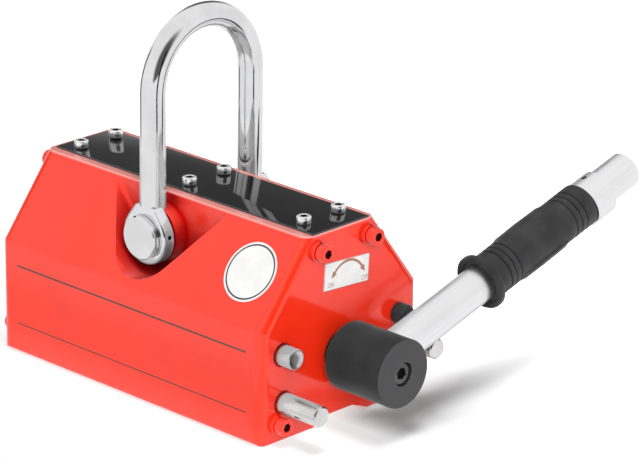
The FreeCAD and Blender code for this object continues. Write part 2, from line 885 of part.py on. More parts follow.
def main():
    os.makedirs("parts", exist_ok=True)
    front_washers, front_springs, front_screws = cover_stack(front_face, 1)
    rear_washers, rear_springs, rear_screws = cover_stack(rear_face + washer_stack, -1)
    fixed = {
        "near_pole_block": [pole_block(-1)],
        "far_pole_block": [pole_block(1)],
        "top_spacer": [spacer(rotor_height, body_height)],
        "bottom_spacer": [spacer(groove_depth, rotor_height)],
        "front_cover": [front_cover()],
        "rear_cover": [rear_cover()],
        "front_bush": [bush(front_seat, front_face)],
        "rear_bush": [bush(rear_face + rear_web, rear_seat)],
        "front_cover_washers": front_washers,
        "front_cover_spring_washers": front_springs,
        "front_cover_screws": front_screws,
        "rear_cover_washers": rear_washers,
        "rear_cover_spring_washers": rear_springs,
        "rear_cover_screws": rear_screws,
        "top_plate": [top_plate()],
        "top_plate_screws": plate_screws(),
        "near_shackle_pin": [shackle_pin(-1)],
        "far_shackle_pin": [shackle_pin(1)],
        "shackle": [shackle()],
        "on_stop_pin": [stop_pin(*on_stop_place())],
        "off_stop_pin": [stop_pin(*off_stop_place())],
        "spring_button": [spring_button()],
        "button_spring": [button_spring()],
        "handle_buffer": [buffer()],
    }
    turning = {
        "upper_rotor_pole": [rotor_pole(1)],
        "lower_rotor_pole": [rotor_pole(-1)],
        "rotor_magnets": rotor_magnets(),
        "front_shaft": [front_shaft()],
        "rear_shaft": [rear_shaft()],
        "rotor_screws": rotor_screws(),
        "hub_key": [key_block(0)],
        "hub": [hub()],
        "hub_screw": [hub_screw()],
        "handle_tube": [handle_tube()],
        "tube_plug": [tube_plug()],
        "grip": [grip()],
        "handle_collar": [handle_collar()],
    }
    for name, pieces in fixed.items():
        write(name, pieces)
    for name, pieces in turning.items():
        write(name, as_stored(pieces))


main()
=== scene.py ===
import math

import bmesh
import bpy
from bpy.props import FloatProperty, FloatVectorProperty, PointerProperty
from bpy.types import NodeSocket, Operator, Panel, PropertyGroup
from mathutils import Matrix, Vector


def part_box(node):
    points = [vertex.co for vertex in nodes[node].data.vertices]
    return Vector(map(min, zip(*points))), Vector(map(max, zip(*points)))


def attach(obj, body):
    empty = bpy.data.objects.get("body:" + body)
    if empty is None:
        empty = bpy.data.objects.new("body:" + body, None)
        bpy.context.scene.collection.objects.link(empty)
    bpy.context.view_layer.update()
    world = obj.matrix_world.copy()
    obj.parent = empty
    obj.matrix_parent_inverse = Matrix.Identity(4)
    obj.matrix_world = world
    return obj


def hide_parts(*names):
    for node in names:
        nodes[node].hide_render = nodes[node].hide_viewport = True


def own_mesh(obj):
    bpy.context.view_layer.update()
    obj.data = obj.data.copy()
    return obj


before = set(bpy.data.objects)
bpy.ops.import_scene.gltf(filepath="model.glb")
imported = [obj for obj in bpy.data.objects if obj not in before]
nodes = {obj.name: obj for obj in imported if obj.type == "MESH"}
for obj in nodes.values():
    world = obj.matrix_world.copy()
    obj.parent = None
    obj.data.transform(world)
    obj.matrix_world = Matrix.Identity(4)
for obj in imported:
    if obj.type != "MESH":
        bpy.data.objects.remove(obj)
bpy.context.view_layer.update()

bl_info = {
    "name": "Magnetic lifter",
    "version": (1, 0, 0),
    "blender": (4, 5, 0),
    "location": "View3D > Sidebar > Lifter",
    "description": "Dresses the packed magnetic lifter with finishes, marks and small pieces, and lights it",
    "category": "Object",
}

effects = {}
finishes = {}

# Places that the pieces share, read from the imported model. All lengths are in metres.
end_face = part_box("front_cover")[1].x
near_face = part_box("near_pole_block")[0].y
plate_low, plate_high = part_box("top_plate")
hub_low, hub_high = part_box("hub")
shaft_height = (hub_low.z + hub_high.z) / 2
tube_low, tube_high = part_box("handle_tube")
tube_line = (tube_low.x + tube_high.x) / 2
quarter = math.pi / 2
white = (1.0, 1.0, 1.0, 1.0)
black = (0.0, 0.0, 0.0)


def colour(name, description, default):
    return FloatVectorProperty(name=name, description=description, subtype="COLOR", size=3,
                               min=0.0, max=1.0, default=default)


def length(name, description, default):
    return FloatProperty(name=name, description=description, unit="LENGTH", min=0.0, default=default)


def angle(name, description, degrees):
    return FloatProperty(name=name, description=description, subtype="ANGLE", default=math.radians(degrees))


class LifterColours(PropertyGroup):
    paint: colour("Paint", "Red gloss enamel of the body, covers and cover screws", (0.92, 0.028, 0.006))
    plate: colour("Top plate", "Gloss black of the plate on top", (0.006, 0.006, 0.007))
    hub: colour("Hub", "Blackened steel of the hub", (0.026, 0.026, 0.027))
    rubber: colour("Rubber", "Rubber of the grip and the buffer", (0.013, 0.013, 0.014))
    chrome: colour("Chrome", "Plating of the shackle and its pins", (0.77, 0.77, 0.78))
    screw: colour("Plate screws", "Plating of the top plate's screws", (0.90, 0.90, 0.90))
    tube: colour("Tube", "Satin steel of the handle tube", (0.84, 0.84, 0.85))
    steel: colour("Pins", "Bright steel of the stop pins", (0.74, 0.73, 0.73))
    button: colour("Button", "Duller steel of the spring button", (0.62, 0.60, 0.60))
    brass: colour("Spacers", "Brass of the spacers and bushes", (0.70, 0.46, 0.17))
    card: colour("Plates", "White of the switch plate and the round sticker", (0.85, 0.845, 0.84))
    print_ink: colour("Switch print", "Brown print of the switch plate", (0.40, 0.19, 0.13))
    line_ink: colour("Lines", "Dark print of the lines on the sides", (0.060, 0.020, 0.016))


class LifterSizes(PropertyGroup):
    cover_screw: length("Cover screws", "Thread size of the cover screws", 0.006)
    plate_screw: length("Plate screws", "Thread size of the top plate's screws", 0.005)
    hub_screw: length("Hub screw", "Thread size of the hub's screw", 0.008)
    switch_width: length("Switch plate width", "Width of the switch plate", 0.0359)
    switch_height: length("Switch plate height", "Height of the switch plate", 0.0164)
    switch_y: length("Switch plate side", "How far the switch plate's middle lies to the far side", 0.00375)
    switch_z: length("Switch plate level", "Height of the switch plate's middle", 0.08705)
    switch_lean: angle("Switch plate lean", "How far the switch plate is stuck askew", -3.7)
    arrow_radius: length("Arrow radius", "Radius of the arrow between ON and OFF", 0.01365)
    letter_height: length("Letters", "Height of the letters ON and OFF", 0.0032)
    sticker_diameter: length("Sticker", "Diameter of the round sticker", 0.0358)
    grip_start: length("Grip start", "From the hub's middle to the grip's flange", 0.0886)
    grip_end: length("Grip end", "From the hub's middle to the grip's far end", 0.1808)
    grip_diameter: length("Grip diameter", "Diameter of the grip", 0.027)
    flange_diameter: length("Flange", "Diameter of the grip's flange", 0.034)
    handle_lean: angle("Handle lean", "How far the handle rises from level when off", 16.7)


class LifterStudio(PropertyGroup):
    azimuth: angle("Azimuth", "Camera's turn about the lifter", 43.97)
    elevation: angle("Elevation", "Camera's height over the horizon", 20.01)
    roll: angle("Roll", "Camera's turn about its own line", 0.66)
    distance: length("Distance", "Camera's distance", 2.22187)
    across: length("Across", "Camera's move to its right", 0.06623)
    rise: length("Rise", "Camera's move upwards", 0.07972)
    lens: FloatProperty(name="Lens", description="Focal length for a 36 mm wide frame",
                        subtype="DISTANCE_CAMERA", default=213.75)
    floor: colour("Floor", "Pale floor", (0.86, 0.86, 0.86))


def colours():
    return bpy.context.scene.lifter_colours


def sizes():
    return bpy.context.scene.lifter_sizes


def studio():
    return bpy.context.scene.lifter_studio


# ---- node trees

def shaded(base, factor):
    return tuple(min(1.0, part * factor) for part in base)


def opaque(base, factor=1.0):
    return (*shaded(base, factor), 1.0)


class Nodes:
    """A node tree in the making."""

    def __init__(self, tree):
        self.tree = tree

    def node(self, kind, inputs=(), **settings):
        """A new node with these settings; its inputs are named by their label or their place."""
        node = self.tree.nodes.new(kind)
        for name, value in settings.items():
            setattr(node, name, value)
        for key, value in dict(inputs).items():
            self.plug(value, node.inputs[key])
        return node

    def plug(self, value, socket):
        """Links an output to the socket, or sets the socket to a plain value."""
        if isinstance(value, NodeSocket):
            self.tree.links.new(value, socket)
        else:
            socket.default_value = value

    def math(self, operation, *values):
        return self.node("ShaderNodeMath", enumerate(values), operation=operation).outputs["Value"]

    def dot(self, first, second):
        node = self.node("ShaderNodeVectorMath", {0: first, 1: second}, operation="DOT_PRODUCT")
        return node.outputs["Value"]

    def product(self, first, *others):
        for other in others:
            first = self.math("MULTIPLY", first, other)
        return first

    def mix(self, mask, first, second):
        """The first colour where the mask is 0, the second where it is 1."""
        first, second = (opaque(tone) if isinstance(tone, tuple) else tone for tone in (first, second))
        return self.node("ShaderNodeMix", {0: mask, 6: first, 7: second}, data_type="RGBA").outputs[2]

    def ranged(self, source, low, high, first=0.0, last=1.0):
        """A soft step, from first where the source is at low to last where it is at high."""
        inputs = {"Value": source, "From Min": low, "From Max": high, "To Min": first, "To Max": last}
        return self.node("ShaderNodeMapRange", inputs, interpolation_type="SMOOTHSTEP").outputs["Result"]

    def parts(self, vector):
        return tuple(self.node("ShaderNodeSeparateXYZ", {"Vector": vector}).outputs)

    def places(self):
        """Where a point lies along the object's own axes."""
        return self.parts(self.node("ShaderNodeTexCoord").outputs["Object"])


class Effect(Nodes):
    """A shared node group in the making, with its named inputs and its one output."""
    socket_kinds = {1: "NodeSocketFloat", 3: "NodeSocketVector", 4: "NodeSocketColor"}

    def __init__(self, name, output, output_kind="NodeSocketFloat", **inputs):
        super().__init__(bpy.data.node_groups.new(name, "ShaderNodeTree"))
        effects[name] = self.tree
        for label, default in inputs.items():
            kind = self.socket_kinds[1 if isinstance(default, float) else len(default)]
            socket = self.tree.interface.new_socket(label, in_out="INPUT", socket_type=kind)
            socket.default_value = default
        self.tree.interface.new_socket(output, in_out="OUTPUT", socket_type=output_kind)
        self.start = self.node("NodeGroupInput")
        self.end = self.node("NodeGroupOutput")

    def given(self, label):
        return self.start.outputs[label]

    def give(self, source):
        self.plug(source, self.end.inputs[0])

    def grain(self, detail, stretch=None, turn=None):
        """Noise on the object's own coordinates, drawn out along one way where a stretch is given."""
        source = self.node("ShaderNodeTexCoord").outputs["Object"]
        if stretch is not None:
            inputs = {"Vector": source, "Scale": stretch, "Rotation": turn}
            source = self.node("ShaderNodeMapping", inputs, vector_type="TEXTURE").outputs["Vector"]
        inputs = {"Vector": source, "Scale": self.given("Scale"), "Detail": detail}
        return self.node("ShaderNodeTexNoise", inputs).outputs["Fac"]


def make_tone_drift():
    effect = Effect("tone_drift", "Colour", "NodeSocketColor", First=white, Second=white, Scale=30.0)
    mask = effect.ranged(effect.grain(4.0), 0.35, 0.65)
    effect.give(effect.mix(mask, effect.given("First"), effect.given("Second")))


def make_smudged_gloss():
    effect = Effect("smudged_gloss", "Roughness", Clean=0.1, Smudged=0.2, Scale=40.0)
    effect.give(effect.ranged(effect.grain(5.0), 0.4, 0.7, effect.given("Clean"), effect.given("Smudged")))


def make_orange_peel():
    effect = Effect("orange_peel", "Height", Scale=400.0)
    effect.give(effect.grain(2.0))


def make_fine_scratches():
    effect = Effect("fine_scratches", "Mask", Scale=60.0)
    first = effect.ranged(effect.grain(2.0, (1.0, 0.033, 0.033), (0.4, 0.6, 0.9)), 0.60, 0.72)
    second = effect.ranged(effect.grain(2.0, (0.033, 0.033, 1.0), (0.9, 0.2, 0.3)), 0.60, 0.72)
    effect.give(effect.math("MAXIMUM", first, second))


# A mask along rounded edges: worn paint on most finishes, and a painted highlight on the hub.
def make_edge_wear_and_sheen():
    effect = Effect("edge_wear_and_sheen", "Mask", Width=0.0008, Scale=500.0)
    bevel = effect.node("ShaderNodeBevel", {"Radius": effect.given("Width")}, samples=4)
    shape = effect.node("ShaderNodeNewGeometry")
    edge = effect.ranged(effect.dot(bevel.outputs["Normal"], shape.outputs["Normal"]), 0.985, 0.90)
    broken = effect.ranged(effect.grain(4.0), 0.42, 0.62)
    effect.give(effect.product(edge, broken))


# Painted shade: an ambient occlusion mask that darkens recesses and the gaps between parts.
def make_painted_recess_shade():
    effect = Effect("painted_recess_shade", "Mask", Reach=0.03)
    closed = effect.node("ShaderNodeAmbientOcclusion", {"Distance": effect.given("Reach")}, samples=8)
    effect.give(effect.ranged(closed.outputs["AO"], 0.80, 0.35))


def make_drawn_lines():
    effect = Effect("drawn_lines", "Height", Scale=40.0, Turn=(0.0, 0.0, 0.0), Stretch=(1.0, 1.0, 1.0))
    effect.give(effect.grain(3.0, effect.given("Stretch"), effect.given("Turn")))


def make_effects():
    make_tone_drift()
    make_smudged_gloss()
    make_orange_peel()
    make_fine_scratches()
    make_edge_wear_and_sheen()
    make_painted_recess_shade()
    make_drawn_lines()


# ---- finishes

# Printed lines on the body's sides: height and half width of each, middle and half length of their run, and
# how far off the side's face they still show.
line_levels = ((0.0543, 0.00055), (0.0183, 0.00035))
line_middle, line_half_run, side_skin = 0.00115, 0.09515, 0.0006
# Bare ground steel: the pole faces, and the groove between them.
face_skin, groove_depth, groove_half_width = 0.0003, 0.0052, 0.0236
ground_dark, ground_light = (0.36, 0.355, 0.35), (0.52, 0.515, 0.51)
# The top rim, painted pale as a highlight along the top edges, and the tone of rubbed edges.
highlight_rim_start, highlight_rim_full, rim_highlight_tone, rubbed_tone = 0.1138, 0.1148, (1.0, 0.72, 0.66), (0.60, 0.020, 0.010)
# What bright metal gets to see of the paint and the gloss plate, from farther away than these gaps.
cast_grey, mirrored_grey, plate_grey = (0.50, 0.50, 0.50), (0.64, 0.64, 0.64), (0.60, 0.60, 0.60)
paint_gap, plate_gap = (0.0015, 0.004), (0.009, 0.020)
# Where along the shaft the hub's end face begins; the face is painted paler as the lit face.
lit_hub_face_start, lit_hub_face_full = 0.1552, 0.1560


class Finish(Nodes):
    """A material in the making, listed under its name: its node tree and its shader."""

    def __init__(self, name, base, roughness, metallic=0.0):
        self.material = bpy.data.materials.new(name)
        finishes[name] = self.material
        self.material.use_nodes = True
        self.material.diffuse_color = opaque(base)
        super().__init__(self.material.node_tree)
        self.shader = self.tree.nodes["Principled BSDF"]
        self.base = base
        self.set("Base Color", opaque(base))
        self.set("Roughness", roughness)
        self.set("Metallic", metallic)

    def set(self, socket, value):
        self.plug(value, self.shader.inputs[socket])

    def effect(self, name, output, **values):
        """The output of a shared effect that is set to these values."""
        return self.node("ShaderNodeGroup", values, node_tree=effects[name]).outputs[output]

    def drift(self, first, second, scale):
        """The base colour, drifting between two shades of it."""
        return self.effect("tone_drift", "Colour", First=opaque(self.base, first),
                           Second=opaque(self.base, second), Scale=scale)

    def gloss(self, clean, smudged, scale):
        return self.effect("smudged_gloss", "Roughness", Clean=clean, Smudged=smudged, Scale=scale)

    def edge_sheen_and_wear(self, width, scale, share):
        mask = self.effect("edge_wear_and_sheen", "Mask", Width=width, Scale=scale)
        return self.product(mask, share)

    def scratches(self, scale):
        return self.effect("fine_scratches", "Mask", Scale=scale)

    def bump(self, height, strength, depth):
        node = self.node("ShaderNodeBump", {"Height": height, "Strength": strength, "Distance": depth})
        self.set("Normal", node.outputs["Normal"])

    def peel(self, scale, strength, depth):
        self.bump(self.effect("orange_peel", "Height", Scale=scale), strength, depth)

    def far_rays(self, kind, near, far):
        """A mask of the rays of one kind that come from farther than a gap."""
        path = self.node("ShaderNodeLightPath").outputs
        return self.product(path[kind], self.ranged(path["Ray Length"], near, far))


def red_paint(name, reach, recess_shade_tone, recess_shade_metal=0.0, ground_foot=True, ground_groove=False, lines=False):
    """Gloss enamel with a painted highlight on the top rim and painted shade in recesses; the ground pole
    faces stay bare, and the sides carry two printed lines."""
    finish = Finish(name, tuple(colours().paint), 0.1)
    finish.set("IOR", 1.6)
    x, y, z = finish.places()
    side = finish.math("ABSOLUTE", y)
    tone = finish.mix(finish.edge_sheen_and_wear(0.0006, 350.0, 0.25), finish.drift(1.0, 0.93, 14.0), rubbed_tone)
    # Painted shade: recesses off the floor are painted darker and rougher, and partly metallic where a share
    # is given.
    off_ground = finish.ranged(z, 0.010, 0.035)
    shaded_recess = finish.product(finish.effect("painted_recess_shade", "Mask", Reach=reach), off_ground)
    tone = finish.mix(shaded_recess, tone, recess_shade_tone)
    rough = finish.math("ADD", finish.gloss(0.09, 0.15, 30.0), finish.product(shaded_recess, 0.3))
    metal = finish.product(shaded_recess, recess_shade_metal) if recess_shade_metal else 0.0
    if lines:
        upper, lower = (finish.math("COMPARE", z, level, half) for level, half in line_levels)
        run = finish.math("COMPARE", x, line_middle, line_half_run)
        on_side = finish.math("COMPARE", side, -near_face, side_skin)
        printed = finish.product(finish.math("MAXIMUM", upper, lower), run, on_side)
        tone = finish.mix(printed, tone, tuple(colours().line_ink))
    if ground_foot:
        # Painted highlight: the top rim is painted pale.
        tone = finish.mix(finish.ranged(z, highlight_rim_start, highlight_rim_full, 0.0, 0.45), tone, rim_highlight_tone)
        bare = finish.math("LESS_THAN", z, face_skin)
        if ground_groove:
            in_groove = finish.product(finish.math("LESS_THAN", z, groove_depth),
                                       finish.math("LESS_THAN", side, groove_half_width))
            bare = finish.math("MAXIMUM", bare, in_groove)
        ground = finish.effect("drawn_lines", "Height", Scale=30.0, Stretch=(0.025, 0.5, 0.5))
        tone = finish.mix(bare, tone, finish.mix(ground, ground_dark, ground_light))
        metal = finish.math("MAXIMUM", metal, bare)
        rough = finish.math("ADD", rough, finish.product(bare, 0.22))
    scattered = finish.far_rays("Is Diffuse Ray", *paint_gap)
    mirrored = finish.far_rays("Is Glossy Ray", *paint_gap)
    tone = finish.mix(finish.product(scattered, 0.85), tone, cast_grey)
    finish.set("Base Color", finish.mix(mirrored, tone, mirrored_grey))
    finish.set("Metallic", metal)
    finish.set("Roughness", rough)
    finish.peel(260.0, 0.10, 0.0002)


def plating(name, base, clean, smudged, scratch_depth):
    """Bright metal with fine scratches and faint smudges."""
    finish = Finish(name, tuple(base), clean, 1.0)
    scratches = finish.scratches(45.0)
    worn = finish.product(scratches, 0.06)
    finish.set("Base Color", finish.drift(1.0, 0.9, 45.0))
    finish.set("Roughness", finish.math("ADD", finish.gloss(clean, smudged, 70.0), worn))
    finish.bump(scratches, 0.12, scratch_depth)


def screw_plating():
    """Polished round the head and brushed on top."""
    finish = Finish("screw_steel", tuple(colours().screw), 0.14, 1.0)
    upward = finish.parts(finish.node("ShaderNodeNewGeometry").outputs["Normal"])[2]
    brushed = finish.ranged(upward, 0.6, 0.95, 0.0, 0.30)
    finish.set("Base Color", finish.drift(1.0, 0.9, 300.0))
    finish.set("Roughness", finish.math("ADD", finish.gloss(0.13, 0.18, 300.0), brushed))
    finish.bump(finish.scratches(45.0), 0.05, 0.00002)


def black_gloss():
    """Black that mirrors like glass, a little worn at its edges."""
    finish = Finish("black_gloss", tuple(colours().plate), 0.05)
    finish.set("IOR", 1.8)
    tone = finish.mix(finish.edge_sheen_and_wear(0.0005, 600.0, 1.0), finish.drift(1.0, 1.8, 35.0), (0.05, 0.05, 0.052))
    mirrored = finish.far_rays("Is Glossy Ray", *plate_gap)
    finish.set("Base Color", finish.mix(mirrored, tone, plate_grey))
    finish.set("Roughness", finish.gloss(0.04, 0.12, 60.0))
    finish.peel(220.0, 0.05, 0.0002)


def black_satin():
    """Blackened steel; the end face is painted paler as lit, the edges bare with a painted highlight."""
    finish = Finish("black_satin", tuple(colours().hub), 0.36)
    finish.set("Specular IOR Level", 0.12)
    # Painted light: the end face is painted paler than the side, as the lit face.
    end = finish.ranged(finish.places()[0], lit_hub_face_start, lit_hub_face_full)
    tone = finish.mix(end, finish.drift(0.9, 1.2, 60.0), shaded(finish.base, 2.4))
    # Painted highlight: the hub's edges are painted paler, together with bare wear.
    tone = finish.mix(finish.edge_sheen_and_wear(0.0012, 400.0, 0.8), tone, (0.16, 0.155, 0.15))
    finish.set("Base Color", tone)
    finish.set("Roughness", finish.gloss(0.34, 0.40, 90.0))
    finish.peel(1400.0, 0.04, 0.00010)


def satin_tube():
    """Steel drawn along the handle."""
    finish = Finish("satin_steel", tuple(colours().tube), 0.3, 1.0)
    lines = finish.effect("drawn_lines", "Height", Scale=30.0, Stretch=(0.05, 0.05, 2.0),
                          Turn=(sizes().handle_lean - quarter, 0.0, 0.0))
    finish.set("Base Color", finish.mix(lines, shaded(finish.base, 0.93), shaded(finish.base, 1.06)))
    finish.set("Roughness", finish.gloss(0.31, 0.39, 60.0))
    finish.bump(lines, 0.02, 0.00004)


def rubber():
    """Moulded rubber with a fine grain, worn grey along its edges."""
    finish = Finish("rubber", tuple(colours().rubber), 0.5)
    finish.set("Specular IOR Level", 0.45)
    tone = finish.mix(finish.edge_sheen_and_wear(0.0008, 300.0, 0.5), finish.drift(0.8, 1.6, 70.0), (0.06, 0.06, 0.062))
    finish.set("Base Color", tone)
    finish.set("Roughness", finish.gloss(0.40, 0.58, 90.0))
    finish.peel(1800.0, 0.25, 0.0001)


def dark_metal(name, base, roughness, metallic):
    """Oiled or blackened metal with scratches."""
    finish = Finish(name, base, roughness, metallic)
    finish.set("Base Color", finish.drift(0.75, 1.3, 55.0))
    finish.set("Roughness", finish.gloss(roughness, roughness + 0.14, 80.0))
    finish.bump(finish.scratches(35.0), 0.2, 0.00005)


def printed_card(name, base, roughness):
    """Printed foil or card."""
    finish = Finish(name, tuple(base), roughness)
    finish.set("Base Color", finish.drift(1.0, 0.93, 120.0))
    finish.set("Roughness", finish.gloss(roughness, roughness + 0.12, 150.0))
    finish.peel(1500.0, 0.06, 0.00006)


def make_finishes():
    ours = colours()
    # The dark tones below are painted shade for the recesses of the body, covers and screws.
    in_shade = (0.45, 0.005, 0.004)
    red_paint("body_paint", 0.03, (0.72, 0.005, 0.004), 0.85, ground_groove=True, lines=True)
    red_paint("cover_paint", 0.006, in_shade)
    red_paint("screw_paint", 0.004, in_shade, ground_foot=False)
    screw_plating()
    plating("chrome", ours.chrome, 0.05, 0.11, 0.00003)
    plating("bright_steel", ours.steel, 0.20, 0.27, 0.00001)
    plating("dull_steel", ours.button, 0.26, 0.34, 0.00001)
    black_gloss()
    black_satin()
    satin_tube()
    rubber()
    dark_metal("dark_steel", (0.12, 0.118, 0.115), 0.34, 1.0)
    dark_metal("screw_socket", (0.020, 0.018, 0.018), 0.45, 0.6)
    dark_metal("painted_socket", (0.035, 0.003, 0.003), 0.45, 0.0)
    plating("spacer_brass", ours.brass, 0.22, 0.34, 0.00004)
    plating("magnet", (0.55, 0.53, 0.50), 0.24, 0.36, 0.00003)
    printed_card("plate_white", ours.card, 0.34)
    printed_card("switch_print", ours.print_ink, 0.42)
    printed_card("word_print", (0.40, 0.27, 0.24), 0.42)
    printed_card("ring_print", (0.05, 0.045, 0.045), 0.42)


def dress(finish, *names):
    """Gives CAD nodes a finish."""
    for name in names:
        mesh = nodes[name].data
        mesh.materials.clear()
        mesh.materials.append(finishes[finish])


# ---- mesh helpers

# Socket head screws: shares of the thread size, and lengths.
head_share, head_extra = 1.5, 0.001
half_flats_share, socket_depth_share = 0.4, 0.5
point_inset_share, point_depth_share = 0.35, 0.12
mouth_flat, mouth_depth = 0.0002, 0.0003
upright_step = 0.00001
# Edges that turn by more than this stay sharp in the shading.
sharp_edge = math.radians(32.0)


def rounded(bm, edges, width, segments, clamp=False):
    bmesh.ops.bevel(bm, geom=edges, offset=width, offset_type="OFFSET", affect="EDGES", segments=segments,
                    profile=0.5, material=-1, clamp_overlap=clamp)


def soften(bm, width, segments, limit=35.0):
    """Rounds the edges that turn by more than a limit, in degrees."""
    sharp = [edge for edge in bm.edges
             if len(edge.link_faces) == 2 and edge.calc_face_angle() > math.radians(limit)]
    rounded(bm, sharp, width, segments, True)


def block(span, middle):
    bm = bmesh.new()
    bmesh.ops.create_cube(bm, size=1.0)
    bmesh.ops.scale(bm, vec=span, verts=bm.verts)
    bmesh.ops.translate(bm, vec=middle, verts=bm.verts)
    return bm


def upright(bm):
    """The edges of a block that don't lie level."""
    return [edge for edge in bm.edges if abs(edge.verts[0].co.z - edge.verts[1].co.z) > upright_step]


def highest(bm):
    return max(bm.faces, key=lambda face: face.calc_center_median().z)


def inset(bm, face, width):
    """Insets one face and returns the faces that then surround it."""
    return bmesh.ops.inset_region(bm, faces=[face], thickness=width)["faces"]


def sink(bm, face, depth):
    bmesh.ops.translate(bm, verts=face.verts, vec=(0, 0, -depth))


def use_second_look(faces):
    for face in faces:
        face.material_index = 1


def turned(profile, steps=96, closed=False):
    """A round solid: a line of (radius, height) points spun about Z."""
    bm = bmesh.new()
    line = [bm.verts.new((radius, 0.0, height)) for radius, height in profile]
    pairs = list(zip(line, line[1:]))
    if closed:
        pairs.append((line[-1], line[0]))
    edges = [bm.edges.new(pair) for pair in pairs]
    bmesh.ops.spin(bm, geom=line + edges, cent=(0, 0, 0), axis=(0, 0, 1), angle=math.tau, steps=steps,
                   use_merge=True, use_duplicate=False)
    bmesh.ops.remove_doubles(bm, verts=bm.verts, dist=1e-6)
    bmesh.ops.recalc_face_normals(bm, faces=bm.faces)
    return bm


def coiled(mean_radius, wire, height, turns, steps_per_turn=32):
    """A coil spring of round wire standing on z 0."""
    bm = bmesh.new()
    start = Matrix.Translation((mean_radius, 0.0, wire / 2)) @ Matrix.Rotation(quarter, 4, "X")
    bmesh.ops.create_circle(bm, cap_ends=True, segments=12, radius=wire / 2, matrix=start)
    steps = round(turns * steps_per_turn)
    rise = Vector((0.0, 0.0, (height - wire) / steps))
    bmesh.ops.spin(bm, geom=bm.verts[:] + bm.edges[:] + bm.faces[:], cent=(0, 0, 0), axis=(0, 0, 1),
                   dvec=rise, angle=math.tau * turns, steps=steps, use_merge=False, use_duplicate=False)
    bmesh.ops.recalc_face_normals(bm, faces=bm.faces)
    return bm


def shown(bm, name):
    """Makes an object of the finished mesh, at the origin."""
    mesh = bpy.data.meshes.new(name)
    bm.to_mesh(mesh)
    bm.free()
    made = bpy.data.objects.new(name, mesh)
    bpy.context.scene.collection.objects.link(made)
    return made


def piece(bm, name, looks, body, stands_for=()):
    """Makes the finished piece: smooth but for its sharp edges, riding on its body."""
    made = shown(bm, name)
    for look in looks:
        made.data.materials.append(finishes[look])
    made.data.shade_smooth()
    made.data.set_sharp_from_angle(angle=sharp_edge)
    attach(made, body)
    if stands_for:
        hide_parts(*stands_for)
    return made


def moved(bm, matrix):
    bmesh.ops.transform(bm, matrix=matrix, verts=bm.verts)
    return bm


def add_copy(target, source, matrix):
    """Adds a turned and moved copy of one bmesh to another."""
    mesh = bpy.data.meshes.new("copy")
    source.to_mesh(mesh)
    mesh.transform(matrix)
    target.from_mesh(mesh)
    bpy.data.meshes.remove(mesh)


def facing_end(spot, towards=1.0, turn=0.0):
    """From a piece that stands up Z to one that points out of the body's end, turned about its own line."""
    return (Matrix.Translation(spot) @ Matrix.Rotation(towards * quarter, 4, "Y")
            @ Matrix.Rotation(turn, 4, "Z"))


def hexagon_reach(point, half_flats):
    """The factor that brings a ring's point onto a hexagon."""
    turn = math.atan2(point.y, point.x) % (math.pi / 3)
    return half_flats / math.cos(turn - math.pi / 6) / math.hypot(point.x, point.y)


def head_radius(size):
    return (head_share * size + head_extra) / 2


def cap_screw(size, shank_length, rounding):
    """A socket head screw standing on z 0, its head upwards, with its shank below."""
    radius = head_radius(size)
    half_flats = half_flats_share * size
    corner = half_flats / math.cos(math.pi / 6)
    bm = bmesh.new()
    bmesh.ops.create_cone(bm, cap_ends=True, cap_tris=False, segments=48, radius1=radius, radius2=radius,
                          depth=size, matrix=Matrix.Translation((0, 0, size / 2)))
    soften(bm, rounding, 4)
    top = highest(bm)
    under = min(bm.faces, key=lambda face: face.calc_center_median().z)
    inset(bm, top, radius - rounding - corner - mouth_flat)
    inset(bm, top, mouth_flat)
    for vert in top.verts:
        grow = hexagon_reach(vert.co, half_flats)
        vert.co.x *= grow
        vert.co.y *= grow
    sink(bm, top, mouth_depth)
    socket = inset(bm, top, upright_step)
    sink(bm, top, socket_depth_share * size - mouth_depth)
    socket += inset(bm, top, half_flats * point_inset_share)
    sink(bm, top, point_depth_share * size)
    use_second_look(socket + [top])
    inset(bm, under, radius - rounding - size / 2)
    inset(bm, under, upright_step)
    sink(bm, under, shank_length)
    bmesh.ops.recalc_face_normals(bm, faces=bm.faces)
    return bm


# ---- pieces

class LIFTER_OT_body(Operator):
    """Paints the pole blocks, the covers and their washers"""
    bl_idname = "lifter.body"
    bl_label = "Body"

    def execute(self, context):
        dress("body_paint", "near_pole_block", "far_pole_block")
        dress("cover_paint", "front_cover", "rear_cover")
        dress("screw_paint", "front_cover_washers", "rear_cover_washers", "front_cover_spring_washers",
              "rear_cover_spring_washers")
        dress("spacer_brass", "top_spacer", "bottom_spacer", "front_bush", "rear_bush")
        return {"FINISHED"}


class LIFTER_OT_rotor(Operator):
    """Finishes the rotor and the other pieces inside"""
    bl_idname = "lifter.rotor"
    bl_label = "Rotor"

    def execute(self, context):
        dress("dark_steel", "upper_rotor_pole", "lower_rotor_pole", "front_shaft", "rear_shaft",
              "rotor_screws", "hub_key", "button_spring")
        dress("magnet", "rotor_magnets")
        return {"FINISHED"}


